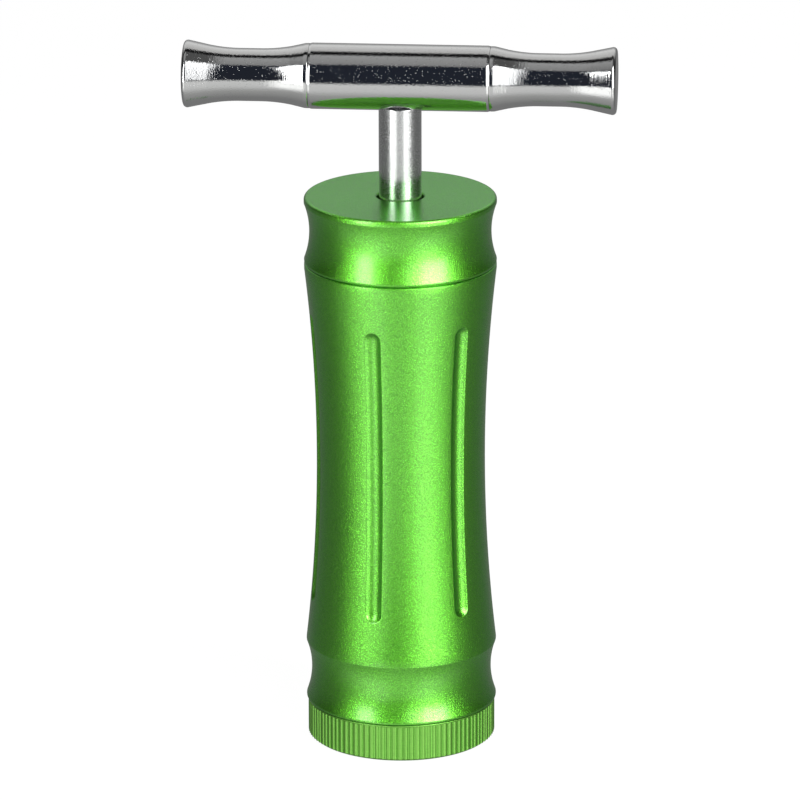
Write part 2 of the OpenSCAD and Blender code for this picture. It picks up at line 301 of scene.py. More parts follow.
def blast_grain():
    """Bead-blasted skin: a fine dimpled height, sparkle specks and a slow mottle."""
    tree, given, out = group(
        "Blast grain", [("Vector", None), ("Scale", 5500.0)], ["Height", "Speck", "Mottle"])
    vector, scale = given.outputs["Vector"], given.outputs["Scale"]
    fine = noise(tree, vector, scale, 2.0, 0.6)
    cells = tree.nodes.new("ShaderNodeTexVoronoi")
    tree.links.new(vector, cells.inputs["Vector"])
    tree.links.new(math_node(tree, "MULTIPLY", scale, CELL_SCALE), cells.inputs["Scale"])
    tree.links.new(math_node(tree, "ADD", fine, cells.outputs["Distance"]), out.inputs["Height"])
    speck = math_node(tree, "MULTIPLY", math_node(tree, "SUBTRACT", fine, SPECK_FROM), SPECK_CONTRAST)
    tree.links.new(speck, out.inputs["Speck"])
    slow = noise(tree, vector, math_node(tree, "MULTIPLY", scale, MOTTLE_SCALE), 3.0)
    tree.links.new(slow, out.inputs["Mottle"])
    return tree


def plating_flaws():
    """Plated skin: slow orange peel and rare small pits."""
    tree, given, out = group(
        "Plating flaws", [("Vector", None), ("Peel", 350.0), ("Pits", 1300.0), ("Pit depth", 1.2)],
        ["Height", "Pit"])
    peel = noise(tree, given.outputs["Vector"], given.outputs["Peel"], 2.0)
    cells = tree.nodes.new("ShaderNodeTexVoronoi")
    tree.links.new(given.outputs["Vector"], cells.inputs["Vector"])
    tree.links.new(given.outputs["Pits"], cells.inputs["Scale"])
    away = math_node(tree, "MULTIPLY", cells.outputs["Distance"], PIT_STEEPNESS)
    near = math_node(tree, "SUBTRACT", 1.0, away, clamp=True)
    lot = tree.nodes.new("ShaderNodeSeparateColor")
    tree.links.new(cells.outputs["Color"], lot.inputs["Color"])
    rare = math_node(tree, "GREATER_THAN", lot.outputs["Red"], PITLESS_SHARE)
    pit = math_node(tree, "MULTIPLY", near, rare)
    height = math_node(tree, "SUBTRACT", peel, math_node(tree, "MULTIPLY", pit, given.outputs["Pit depth"]))
    tree.links.new(height, out.inputs["Height"])
    tree.links.new(pit, out.inputs["Pit"])
    return tree


def turning_lines():
    """Fine lathe lines across one axis, with uneven depth."""
    tree, given, out = group("Turning lines", [("Vector", None), ("Scale", 9000.0)], ["Height"])
    lines = noise(tree, given.outputs["Vector"], given.outputs["Scale"], 3.0, 0.6)
    tree.links.new(lines, out.inputs["Height"])
    return tree


BLAST_GRAIN = blast_grain()
PLATING_FLAWS = plating_flaws()
TURNING_LINES = turning_lines()


def place(material, tree, vector, **values):
    """Puts a shared group into a material and sets its inputs."""
    nodes, links = nodes_of(material)
    node = nodes.new("ShaderNodeGroup")
    node.node_tree = tree
    links.new(vector, node.inputs["Vector"])
    for key, value in values.items():
        node.inputs[key].default_value = value
    return node


def bump(material, shader, height, strength, distance):
    """Gives a shader its normal from a height."""
    nodes, links = nodes_of(material)
    node = nodes.new("ShaderNodeBump")
    node.inputs["Strength"].default_value = strength
    node.inputs["Distance"].default_value = distance
    links.new(height, node.inputs["Height"])
    links.new(node.outputs["Normal"], shader.inputs["Normal"])


def spread(material, value, low, high):
    """Maps 0..1 to a range."""
    nodes, links = nodes_of(material)
    node = nodes.new("ShaderNodeMapRange")
    links.new(value, node.inputs["Value"])
    node.inputs["To Min"].default_value = low
    node.inputs["To Max"].default_value = high
    return node.outputs["Result"]


def two_tone(material, value, dark, light):
    """Maps 0..1 to a colour between two."""
    nodes, links = nodes_of(material)
    ramp = nodes.new("ShaderNodeValToRGB")
    ramp.color_ramp.elements[0].color = (*dark, 1)
    ramp.color_ramp.elements[1].color = (*light, 1)
    links.new(value, ramp.inputs["Fac"])
    return ramp.outputs["Color"]


def stretched(material, coords, scale):
    """Object coordinates scaled unevenly, so that a pattern runs as lines."""
    nodes, links = nodes_of(material)
    node = nodes.new("ShaderNodeMapping")
    links.new(coords.outputs["Object"], node.inputs["Vector"])
    node.inputs["Scale"].default_value = scale
    return node.outputs["Vector"]


# ---------------------------------------------------------------- materials

# Bump distances in metres.
GRAIN_RELIEF = 0.000035
LINE_RELIEF = 0.00003
FAINT_RELIEF = 0.00002
PLATING_RELIEF = 0.00005
CHROME_TONE = (0.56, 0.565, 0.565)
PIT_TONE = (0.2, 0.2, 0.2)


def green_anodised():
    """Bead-blasted and dyed aluminium."""
    material, shader, coords = new_material(
        "green anodised", (0.125, 0.61, 0.024), 1.0, 0.32, Coat_Weight=1.0, Coat_Roughness=0.25,
        Coat_IOR=1.62, Specular_Tint=(0.2, 0.4, 0.12, 1))
    _, links = nodes_of(material)
    grain = place(material, BLAST_GRAIN, coords.outputs["Object"], Scale=6500.0)
    color = two_tone(material, grain.outputs["Speck"], (0.07, 0.385, 0.01), (0.195, 0.76, 0.044))
    links.new(color, shader.inputs["Base Color"])
    links.new(spread(material, grain.outputs["Speck"], 0.37, 0.27), shader.inputs["Roughness"])
    bump(material, shader, grain.outputs["Height"], 1.0, GRAIN_RELIEF)
    return material


def green_turned():
    """Dyed aluminium as it left the lathe, paler and without the blasted grain."""
    material, shader, coords = new_material(
        "green turned", (0.22, 0.62, 0.07), 1.0, 0.42, Coat_Weight=0.7, Coat_Roughness=0.32, Coat_IOR=1.6,
        Specular_Tint=(0.25, 0.45, 0.2, 1))
    _, links = nodes_of(material)
    lines = place(material, TURNING_LINES, stretched(material, coords, (0.12, 0.12, 1)), Scale=6000.0)
    color = two_tone(material, lines.outputs["Height"], (0.155, 0.46, 0.047), (0.24, 0.62, 0.08))
    links.new(color, shader.inputs["Base Color"])
    bump(material, shader, lines.outputs["Height"], 0.4, LINE_RELIEF)
    return material


def chrome(name, lines):
    """Bright plating over turned bar. lines is the depth of the lathe lines left under it."""
    material, shader, coords = new_material(name, CHROME_TONE, 1.0, 0.05)
    tree, links = material.node_tree, material.node_tree.links
    flaws = place(material, PLATING_FLAWS, coords.outputs["Object"], Peel=3600.0, Pits=4200.0)
    links.new(spread(material, flaws.outputs["Pit"], 0.05, 0.3), shader.inputs["Roughness"])
    links.new(two_tone(material, flaws.outputs["Pit"], CHROME_TONE, PIT_TONE), shader.inputs["Base Color"])
    turning = place(material, TURNING_LINES, stretched(material, coords, (1, 0.04, 0.04)), Scale=3600.0)
    left_over = math_node(tree, "MULTIPLY", turning.outputs["Height"], lines)
    height = math_node(tree, "ADD", flaws.outputs["Height"], left_over)
    bump(material, shader, height, 0.35, PLATING_RELIEF)
    return material


def plated_steel():
    """The shank: plated, with a satin speckle and faint turning lines."""
    material, shader, coords = new_material("plated shank steel", (0.54, 0.55, 0.55), 1.0, 0.2)
    _, links = nodes_of(material)
    lines = place(material, TURNING_LINES, stretched(material, coords, (0.05, 0.05, 1)), Scale=9000.0)
    grain = place(material, BLAST_GRAIN, coords.outputs["Object"], Scale=6000.0)
    links.new(spread(material, grain.outputs["Speck"], 0.08, 0.33), shader.inputs["Roughness"])
    links.new(two_tone(material, grain.outputs["Mottle"], (0.58, 0.59, 0.59), (0.66, 0.67, 0.67)),
              shader.inputs["Base Color"])
    bump(material, shader, lines.outputs["Height"], 0.2, LINE_RELIEF)
    return material


def ground_steel():
    material, shader, coords = new_material("ground steel", (0.5, 0.5, 0.51), 1.0, 0.3)
    _, links = nodes_of(material)
    lines = place(material, TURNING_LINES, stretched(material, coords, (0.1, 0.1, 1)), Scale=7000.0)
    links.new(two_tone(material, lines.outputs["Height"], (0.44, 0.44, 0.45), (0.56, 0.56, 0.57)),
              shader.inputs["Base Color"])
    bump(material, shader, lines.outputs["Height"], 0.2, FAINT_RELIEF)
    return material


def turned_brass():
    material, shader, coords = new_material("turned brass", (0.72, 0.5, 0.19), 1.0, 0.28)
    _, links = nodes_of(material)
    lines = place(material, TURNING_LINES, stretched(material, coords, (0.1, 0.1, 1)), Scale=7000.0)
    links.new(two_tone(material, lines.outputs["Height"], (0.62, 0.42, 0.15), (0.8, 0.58, 0.24)),
              shader.inputs["Base Color"])
    bump(material, shader, lines.outputs["Height"], 0.2, FAINT_RELIEF)
    return material


def seal_rubber():
    material, shader, coords = new_material("seal rubber", (0.02, 0.02, 0.021), 0.0, 0.55)
    _, links = nodes_of(material)
    grain = place(material, BLAST_GRAIN, coords.outputs["Object"], Scale=3000.0)
    links.new(spread(material, grain.outputs["Mottle"], 0.45, 0.65), shader.inputs["Roughness"])
    links.new(two_tone(material, grain.outputs["Mottle"], (0.015, 0.015, 0.016), (0.03, 0.03, 0.031)),
              shader.inputs["Base Color"])
    bump(material, shader, grain.outputs["Height"], 0.2, FAINT_RELIEF)
    return material


def white_plastic():
    material, shader, coords = new_material("white bearing plastic", (0.78, 0.78, 0.74), 0.0, 0.4)
    _, links = nodes_of(material)
    grain = place(material, BLAST_GRAIN, coords.outputs["Object"], Scale=2500.0)
    links.new(two_tone(material, grain.outputs["Mottle"], (0.72, 0.72, 0.68), (0.82, 0.82, 0.79)),
              shader.inputs["Base Color"])
    return material


GREEN = green_anodised()
GREEN_TURNED = green_turned()
CHROME = chrome("bright chrome", 0.1)
CHROME_GRIP = chrome("turned chrome", 0.8)
PLATED = plated_steel()
STEEL = ground_steel()
BRASS = turned_brass()
RUBBER = seal_rubber()
PLASTIC = white_plastic()

SLOT_MATERIALS = {
    "green_anodised": GREEN, "green_turned": GREEN_TURNED, "chrome": CHROME, "polished_steel": PLATED,
    "steel": STEEL, "brass": BRASS, "rubber": RUBBER, "white_plastic": PLASTIC,
}


def dress_nodes():
    """Each CAD node takes the finish that the record names for it."""
    for row in frame["record"]["subparts"]:
        node = frame["nodes"][row["node"]]
        node.data.materials.clear()
        node.data.materials.append(SLOT_MATERIALS[row["material_slot"]])


# ---------------------------------------------------------------- body

# Where the mesh has its columns and rows across a flute, in half widths.
FLUTE_STEPS = [0, 0.25, 0.45, 0.62, 0.76, 0.86, 0.93, 0.98, 1.02, 1.07, 1.13]
# Steps round the body from flute to flute, from mid-height to a flute's end, and on to the rim.
BETWEEN_FLUTES = 18
PLAIN_STEPS = 14
END_STEPS = 5
FLUTE_HALF = FLUTE_W / 2
CUTTER_R = (FLUTE_HALF ** 2 + FLUTE_DEPTH ** 2) / (2 * FLUTE_DEPTH)
EDGE_SOFT = 0.05 * MM


def flute_cut(d):
    """Depth of the flute at distance d from its centre line, with a softened edge."""
    inside = math.sqrt(max(CUTTER_R ** 2 - min(d, CUTTER_R) ** 2, 0)) - (CUTTER_R - FLUTE_DEPTH)
    from_edge = (d - FLUTE_HALF) / (3 * EDGE_SOFT)
    softening = 4 * EDGE_SOFT ** 2 * math.exp(-from_edge ** 2)
    return (inside + math.sqrt(inside ** 2 + softening)) / 2


def flute_columns():
    """Signed steps across one flute and the even steps to the next, as (kind, value)."""
    across = [-f for f in reversed(FLUTE_STEPS[1:])] + FLUTE_STEPS
    between = [i / BETWEEN_FLUTES for i in range(1, BETWEEN_FLUTES)]
    return [("flute", f) for f in across] + [("land", t) for t in between]


def body_skin():
    """The fluted outside and the bored inside of the body, as one closed mesh."""
    straight = FLUTE_LEN / 2 - FLUTE_HALF
    waist_low, waist_high = RIDGE_Z + 0.1 * MM, SEAM - 1 * MM
    mid = (waist_low + waist_high) / 2
    depth = BODY_R - WAIST_R
    half = (waist_high - waist_low) / 2
    curve_r = (half ** 2 + depth ** 2) / (2 * depth)
    axis_r = WAIST_R + curve_r

    def waist(z):
        return axis_r - math.sqrt(curve_r ** 2 - (z - mid) ** 2)

    offsets = [straight + f * FLUTE_HALF for f in FLUTE_STEPS]
    inner = [straight * i / PLAIN_STEPS for i in range(PLAIN_STEPS)]
    beyond = [offsets[-1] + (half - offsets[-1]) * i / END_STEPS for i in range(1, END_STEPS)]
    ups = inner + offsets + beyond
    heights = sorted({mid + s * u for u in ups for s in (-1, 1)})
    lower = eased(
        [(BODY_BORE_R, BASE_TOP), (BODY_R - 0.4 * MM, BASE_TOP), (BODY_R, BASE_TOP + 0.3 * MM)]
        + hollow(BODY_R, COVE_DEPTH, BASE_TOP + 0.65 * MM, RIDGE_Z - 0.1 * MM, 24)
        + [(BODY_R, waist_low), (waist(waist_low + 2 * MM), waist_low + 2 * MM)], 0.35 * MM)[1:-1]
    upper = eased(
        [(waist(waist_high - 2 * MM), waist_high - 2 * MM), (BODY_R, waist_high), (BODY_R, SEAM - 0.2 * MM),
         (BODY_R - 0.2 * MM, SEAM), (CAP_SEAL_R, SEAM)], 0.12 * MM)[1:-1]
    seal_low = CAP_SEAL_LOW - 0.2 * MM
    seal_r = CAP_SEAL_R + 0.15 * MM
    bores = [
        (seal_r, SEAM), (seal_r, seal_low), (BODY_BORE_R, seal_low), (BODY_BORE_R, CAP_LOW),
        (NUT_FLANGE_R + 0.3 * MM, CAP_LOW), (NUT_FLANGE_R + 0.3 * MM, LINER_TOP + 0.5 * MM),
        (LINER_OUT, LINER_TOP + 0.5 * MM), (LINER_OUT, LINER_LOW), (LINER_OUT - 0.9 * MM, LINER_LOW),
        (LINER_OUT - 0.9 * MM, SPIGOT_TOP + 0.5 * MM), (BODY_BORE_R, SPIGOT_TOP + 0.5 * MM),
        (BODY_BORE_R, BASE_TOP + 1.15 * MM), (BASE_SEAL_R + 0.1 * MM, BASE_TOP + 1.15 * MM),
        (BASE_SEAL_R + 0.1 * MM, BASE_TOP),
    ]
    low_end, high_end = lower[-1][1], upper[0][1]
    rows = [(r, z, False) for r, z in lower]
    rows += [(waist(z), z, True) for z in heights if low_end < z < high_end]
    rows += [(r, z, False) for r, z in upper]
    rows += [(r, z, False) for r, z in held(bores, False)]

    columns = flute_columns()
    sector = 2 * math.pi / FLUTES
    bm = bmesh.new()
    rings = []
    for r, z, fluted in rows:
        past = max(abs(z - mid) - straight, 0)
        reach = FLUTE_STEPS[-1] * FLUTE_HALF
        cut_here = fluted and past < reach
        edge = math.sqrt(reach ** 2 - past ** 2) / r if cut_here else 0
        ring = []
        for k in range(FLUTES):
            for kind, value in columns:
                radius = r
                if kind == "flute":
                    side = math.copysign(1, value)
                    across = math.sqrt(max((value * FLUTE_HALF) ** 2 - past ** 2, 0)) if cut_here else 0
                    turn = side * across / r
                    if cut_here:
                        radius = r - flute_cut(max(abs(value) * FLUTE_HALF, past))
                else:
                    turn = edge + (sector - 2 * edge) * value
                a = FLUTE_TURN + k * sector + turn
                ring.append(bm.verts.new((radius * math.cos(a), radius * math.sin(a), z)))
        rings.append(ring)
    count = len(rings[0])
    for low, high in zip(rings, rings[1:] + rings[:1]):
        for i in range(count):
            j = (i + 1) % count
            bm.faces.new((low[i], low[j], high[j], high[i]))
    return bm


# ---------------------------------------------------------------- caps

def cap_skin():
    """The top cap with its cove, its spigot and the bored seat of the nut."""
    low = SEAM + 0.07 * MM
    neck_r = BODY_CORE_R - 0.1 * MM
    neck_z = CAP_SEAL_LOW - 0.2 * MM
    outside = eased(
        [(BODY_CORE_R - 0.3 * MM, CAP_LOW), (BODY_CORE_R, CAP_LOW + 0.3 * MM), (BODY_CORE_R, neck_z),
         (neck_r, neck_z), (neck_r, low), (BODY_R - 0.24 * MM, low)], 0.08 * MM, 3)
    outside += arc((BODY_R - 0.7 * MM, low + 0.52 * MM), 0.7 * MM, -48, 0, 8)[1:]
    outside += hollow(BODY_R, COVE_DEPTH, SEAM + 0.65 * MM, CAP_TOP - 1.1 * MM, 28)
    outside += arc((BODY_R - 0.6 * MM, CAP_TOP - 0.6 * MM), 0.6 * MM, 0, 90, 8)
    inside = eased(
        [(BODY_R - 2 * MM, CAP_TOP), (HOLE_R + 0.25 * MM, CAP_TOP), (HOLE_R, CAP_TOP - 0.25 * MM),
         (HOLE_R, CAP_TOP - 3.8 * MM), (SCREW_ROOM_R, CAP_TOP - 3.8 * MM),
         (SCREW_ROOM_R, NUT_TOP + 0.5 * MM), (NUT_SEAT_R, NUT_TOP + 0.5 * MM),
         (NUT_SEAT_R, CAP_LOW)], 0.1 * MM, 3)
    return turned(eased(outside, 0.15 * MM) + inside, steps=240)


def base_core():
    """The base cap inside its ribs, with its spigot and the dowel's seat."""
    root_r = BASE_R - 0.28 * MM
    seat_z = bottom("lower_dowel").z
    rows = [(0, 0)] + eased(
        [(root_r - 2 * MM, 0), (root_r - 0.4 * MM, 0), (root_r, 0.4 * MM), (root_r, BASE_TOP - 0.3 * MM),
         (BASE_R - 0.04 * MM, BASE_TOP - 0.3 * MM), (BASE_R - 0.04 * MM, BASE_TOP - 0.06 * MM),
         (BASE_R - 0.1 * MM, BASE_TOP - 0.02 * MM),
         (BODY_CORE_R, BASE_TOP - 0.02 * MM), (BODY_CORE_R, SPIGOT_TOP - 0.3 * MM),
         (BODY_CORE_R - 0.3 * MM, SPIGOT_TOP), (DOWEL_SEAT_R, SPIGOT_TOP), (DOWEL_SEAT_R, seat_z),
         (0, seat_z)], 0.1 * MM, 3)
    return turned(rows, steps=240, closed=False)


# ---------------------------------------------------------------- T-bar

def hub_skin():
    """The middle of the T-bar, with a bevel at each end."""
    end = [(3.02 * MM, HUB_HALF), (HUB_R - 0.11 * MM, HUB_HALF), (HUB_R, HUB_HALF - 0.42 * MM), (HUB_R, 0)]
    half = [(0, HUB_HALF)] + eased(end, 0.06 * MM)[:-1]
    rows = [(r, -h) for r, h in half] + [(r, h) for r, h in reversed(half)]
    return turned(rows, axis="X", steps=200, closed=False)


def grip_skin(side):
    """One waisted grip; side is 1 for the right and -1 for the left."""
    seam_r, waist_r, slope, blend = 5.95 * MM, 4.8 * MM, 10.8, 30 * MM
    length = GRIP_END - HUB_HALF
    edge = 0.7 * MM
    tilt = math.radians(slope)
    reach, drop = blend * math.sin(tilt), blend * (1 - math.cos(tilt))
    near = (seam_r - waist_r - drop) / math.tan(tilt)
    far = length - 4.6 * MM
    end_r = waist_r + drop + (length - far) * math.tan(tilt)
    centre = (end_r - edge - edge * math.tan(tilt) / 2, length - edge)
    rows = [(0, 0)] + eased(
        [(seam_r - 0.5 * MM, 0), (seam_r - 0.12 * MM, 0), (seam_r - 0.04 * MM, 0.12 * MM),
         (seam_r - 0.06 * MM, 0.8 * MM), (seam_r - 0.4 * MM, 2.6 * MM)], 0.6 * MM, 6)[:-1]
    rows += arc((waist_r + blend, near + reach), blend, 180 + slope, 180, 24)
    rows += arc((waist_r + blend, far - reach), blend, 180, 180 - slope, 24)
    rows += arc(centre, edge, -slope, 90, 14)
    rows += [(0, length)]
    return turned([(r, side * (HUB_HALF + h)) for r, h in rows], axis="X", steps=200, closed=False)


def shank_skin():
    """The drive screw without its thread: nose, neck groove, core, shank and tenon."""
    thread_low = top("press_piston").z + 0.5 * MM
    thread_top = CAP_TOP - 4.3 * MM
    nose_top = thread_low + 0.1 * MM
    shoulder = BAR_Z - HUB_R + 0.75 * MM
    pin_z = top("press_piston").z - 3.7 * MM
    rows = [(0, SCREW_LOW)] + eased(
        [(2.6 * MM, SCREW_LOW), (NOSE_R, SCREW_LOW + 0.4 * MM), (NOSE_R, pin_z - 0.95 * MM),
         (NECK_R, pin_z - 0.95 * MM), (NECK_R, pin_z + 0.95 * MM), (NOSE_R, pin_z + 0.95 * MM),
         (NOSE_R, nose_top), (SCREW_CORE_R - 0.6 * MM, nose_top), (SCREW_CORE_R, nose_top + 0.6 * MM),
         (SCREW_CORE_R, thread_top), (SHANK_R, thread_top), (SHANK_R, shoulder), (TENON_R, shoulder),
         (TENON_R, SCREW_TOP)], 0.08 * MM, 3)
    return turned(rows + [(0, SCREW_TOP)], steps=128, closed=False)


# ---------------------------------------------------------------- Geometry Nodes

def geometry_tree(name, inputs):
    """A new Geometry Nodes tree with named inputs, as (name, socket type, default)."""
    tree = bpy.data.node_groups.new(name, "GeometryNodeTree")
    for key, kind, value in inputs:
        socket = tree.interface.new_socket(key, in_out="INPUT", socket_type=kind)
        if value is not None:
            socket.default_value = value
    tree.interface.new_socket("Geometry", in_out="OUTPUT", socket_type="NodeSocketGeometry")
    return tree, tree.nodes.new("NodeGroupInput").outputs, tree.nodes.new("NodeGroupOutput").inputs


def linked(tree, kind, ports=None, **settings):
    """Adds a node, sets its properties and links or sets its inputs."""
    node = tree.nodes.new(kind)
    for key, value in settings.items():
        setattr(node, key, value)
    for key, value in (ports or {}).items():
        if isinstance(value, bpy.types.NodeSocket):
            tree.links.new(value, node.inputs[key])
        else:
            node.inputs[key].default_value = value
    return node


# A thread reaches its full depth over one turn divided by this, and starts at a share of it.
RUN_OUT_RATE = 4.0
THINNEST_TOOTH = 0.05
SPIRAL_STEPS = 72
RIB_SIDES = 16


def thread_tree():
    """A helical thread ridge: a tooth profile swept along a spiral and run out at both ends."""
    tree, given, out = geometry_tree("Thread ridge", [
        ("Root radius", "NodeSocketFloat", 0.01), ("Pitch", "NodeSocketFloat", 0.0015),
        ("Turns", "NodeSocketFloat", 4.0), ("Start height", "NodeSocketFloat", 0.0),
        ("Tooth depth", "NodeSocketFloat", 0.001), ("Root width", "NodeSocketFloat", 0.0011),
        ("Crest width", "NodeSocketFloat", 0.0003), ("Outward", "NodeSocketFloat", 1.0),
        ("Finish", "NodeSocketMaterial", None)])
    spiral = linked(tree, "GeometryNodeCurveSpiral", {
        "Resolution": SPIRAL_STEPS, "Rotations": given["Turns"], "Start Radius": given["Root radius"],
        "End Radius": given["Root radius"],
        "Height": math_node(tree, "MULTIPLY", given["Pitch"], given["Turns"]),
        "Reverse": True})
    upright = linked(tree, "GeometryNodeSetCurveNormal", {"Curve": spiral.outputs["Curve"]}, mode="Z_UP")
    tooth = linked(tree, "GeometryNodeCurvePrimitiveQuadrilateral", {
        "Height": given["Tooth depth"], "Bottom Width": given["Root width"],
        "Top Width": given["Crest width"], "Offset": 0.0}, mode="TRAPEZOID")
    half_depth = math_node(tree, "MULTIPLY", given["Tooth depth"], 0.5)
    half_depth = math_node(tree, "MULTIPLY", half_depth, given["Outward"])
    quarter_turn = math_node(tree, "MULTIPLY", given["Outward"], -math.pi / 2)
    turn = linked(tree, "ShaderNodeCombineXYZ", {"Z": quarter_turn})
    shift = linked(tree, "ShaderNodeCombineXYZ", {"X": half_depth})
    aimed = linked(tree, "GeometryNodeTransform", {
        "Geometry": tooth.outputs["Curve"], "Translation": shift.outputs["Vector"],
        "Rotation": turn.outputs["Vector"]})
    along = linked(tree, "GeometryNodeSplineParameter").outputs["Factor"]
    to_end = math_node(tree, "MINIMUM", along, math_node(tree, "SUBTRACT", 1.0, along))
    fade = math_node(tree, "MULTIPLY", math_node(tree, "MULTIPLY", to_end, given["Turns"]), RUN_OUT_RATE)
    scale = math_node(tree, "MAXIMUM", math_node(tree, "MINIMUM", fade, 1.0), THINNEST_TOOTH)
    swept = linked(tree, "GeometryNodeCurveToMesh", {
        "Curve": upright.outputs["Curve"], "Profile Curve": aimed.outputs["Geometry"], "Scale": scale,
        "Fill Caps": True})
    lift = linked(tree, "ShaderNodeCombineXYZ", {"Z": given["Start height"]})
    moved = linked(tree, "GeometryNodeTransform", {
        "Geometry": swept.outputs["Mesh"], "Translation": lift.outputs["Vector"]})
    real = linked(tree, "GeometryNodeRealizeInstances", {"Geometry": moved.outputs["Geometry"]})
    painted = linked(tree, "GeometryNodeSetMaterial", {
        "Geometry": real.outputs["Geometry"], "Material": given["Finish"]})
    tree.links.new(painted.outputs["Geometry"], out["Geometry"])
    return tree


def rib_tree():
    """Ribs of rounded section set upright round a ring, each a little uneven in width."""
    tree, given, out = geometry_tree("Reeded ring", [
        ("Ring radius", "NodeSocketFloat", 0.017), ("Count", "NodeSocketInt", 100),
        ("Rib width", "NodeSocketFloat", 0.0006), ("Rib depth", "NodeSocketFloat", 0.0004),
        ("Low", "NodeSocketFloat", 0.0007), ("High", "NodeSocketFloat", 0.0067),
        ("Unevenness", "NodeSocketFloat", 0.2), ("Seed", "NodeSocketInt", 3),
        ("Finish", "NodeSocketMaterial", None)])
    ring = linked(tree, "GeometryNodeMeshCircle", {
        "Vertices": given["Count"], "Radius": given["Ring radius"]})
    tall = math_node(tree, "SUBTRACT", given["High"], given["Low"])
    centre = math_node(tree, "ADD", math_node(tree, "MULTIPLY", tall, 0.5), given["Low"])
    rod = linked(tree, "GeometryNodeMeshCylinder", {
        "Vertices": RIB_SIDES, "Radius": 0.5, "Depth": 1.0}, fill_type="NGON")
    size = linked(tree, "ShaderNodeCombineXYZ", {
        "X": given["Rib depth"], "Y": given["Rib width"], "Z": tall})
    bar = linked(tree, "GeometryNodeTransform", {
        "Geometry": rod.outputs["Mesh"], "Scale": size.outputs["Vector"]})
    position = linked(tree, "GeometryNodeInputPosition")
    facing = linked(tree, "FunctionNodeAlignEulerToVector", {
        "Vector": position.outputs[0]}, axis="X", pivot_axis="Z")
    index = linked(tree, "GeometryNodeInputIndex")
    low = math_node(tree, "SUBTRACT", 1.0, given["Unevenness"])
    high = math_node(tree, "ADD", 1.0, given["Unevenness"])
    spread_of = linked(tree, "FunctionNodeRandomValue", {
        "Min": low, "Max": high, "ID": index.outputs[0], "Seed": given["Seed"]}, data_type="FLOAT")
    width = [socket for socket in spread_of.outputs if socket.type == "VALUE"][0]
    scale = linked(tree, "ShaderNodeCombineXYZ", {"X": 1.0, "Y": width, "Z": 1.0})
    ribs = linked(tree, "GeometryNodeInstanceOnPoints", {
        "Points": ring.outputs["Mesh"], "Instance": bar.outputs["Geometry"], "Rotation": facing.outputs[0],
        "Scale": scale.outputs["Vector"]})
    lift = linked(tree, "ShaderNodeCombineXYZ", {"Z": centre})
    moved = linked(tree, "GeometryNodeTransform", {
        "Geometry": ribs.outputs["Instances"], "Translation": lift.outputs["Vector"]})
    real = linked(tree, "GeometryNodeRealizeInstances", {"Geometry": moved.outputs["Geometry"]})
    painted = linked(tree, "GeometryNodeSetMaterial", {
        "Geometry": real.outputs["Geometry"], "Material": given["Finish"]})
    tree.links.new(painted.outputs["Geometry"], out["Geometry"])
    return tree


def grown(name, tree, values, body, sharp=35):
    """Runs a Geometry Nodes tree and keeps its result as a plain mesh."""
    carrier = bpy.data.objects.new(name + "_source", bpy.data.meshes.new(name + "_source"))
    bpy.context.scene.collection.objects.link(carrier)
    modifier = carrier.modifiers.new(name, "NODES")
    modifier.node_group = tree
    sockets = {s.name: s.identifier for s in tree.interface.items_tree if s.in_out == "INPUT"}
    for key, value in values.items():
        modifier[sockets[key]] = value
    bpy.context.view_layer.update()
    evaluated = carrier.evaluated_get(bpy.context.evaluated_depsgraph_get())
    mesh = bpy.data.meshes.new_from_object(evaluated)
    carrier.modifiers.remove(modifier)
    bpy.data.objects.remove(carrier)
    mesh.name = name
    bm = bmesh.new()
    bm.from_mesh(mesh)
    bmesh.ops.remove_doubles(bm, verts=bm.verts, dist=SLIVER)
    bmesh.ops.recalc_face_normals(bm, faces=bm.faces)
    bm.to_mesh(mesh)
    bm.free()
    mesh.shade_smooth()
    mesh.set_sharp_from_angle(angle=math.radians(sharp))
    piece = bpy.data.objects.new(name, mesh)
    bpy.context.scene.collection.objects.link(piece)
    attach(piece, body)
    return piece


# ---------------------------------------------------------------- the press

dress_nodes()
finished("body_skin", body_skin(), "body", GREEN, ["main_body"])
finished("cap_skin", cap_skin(), "cap", GREEN, ["top_cap"])
finished("base_core", base_core(), "base", GREEN_TURNED, ["base_cap"])
finished("hub_skin", hub_skin(), "screw", CHROME, ["handle_hub"])
finished("right_grip_skin", grip_skin(1), "screw", CHROME_GRIP, ["right_grip"])
finished("left_grip_skin", grip_skin(-1), "screw", CHROME_GRIP, ["left_grip"])
finished("shank_skin", shank_skin(), "screw", PLATED, ["drive_screw"])

THREAD = thread_tree()


def thread(name, root_r, crest_r, tooth, heights, body, material):
    """One screw thread, its root sunk a little into the wall it stands on."""
    outward = 1.0 if crest_r > root_r else -1.0
    root_r -= outward * THREAD_SINK
    low, high = heights
    grown(name, THREAD, {
        "Root radius": root_r, "Pitch": PITCH, "Turns": (high - low) / PITCH, "Start height": low,
        "Tooth depth": abs(crest_r - root_r), "Root width": tooth[0], "Crest width": tooth[1],
        "Outward": outward, "Finish": material}, body, sharp=25)


thread("base_thread", BODY_CORE_R, MALE_CREST_R, MALE_TOOTH, BASE_THREAD,
       "base", GREEN_TURNED)
thread("cap_thread", BODY_CORE_R, MALE_CREST_R, MALE_TOOTH, CAP_THREAD,
       "cap", GREEN)
thread("body_low_thread", BODY_BORE_R, FEMALE_CREST_R, FEMALE_TOOTH, BODY_LOW_THREAD,
       "body", GREEN)
thread("body_top_thread", BODY_BORE_R, FEMALE_CREST_R, FEMALE_TOOTH, BODY_TOP_THREAD,
       "body", GREEN)
thread("screw_thread", SCREW_CORE_R, SCREW_CREST_R, MALE_TOOTH, SCREW_THREAD,
       "screw", PLATED)

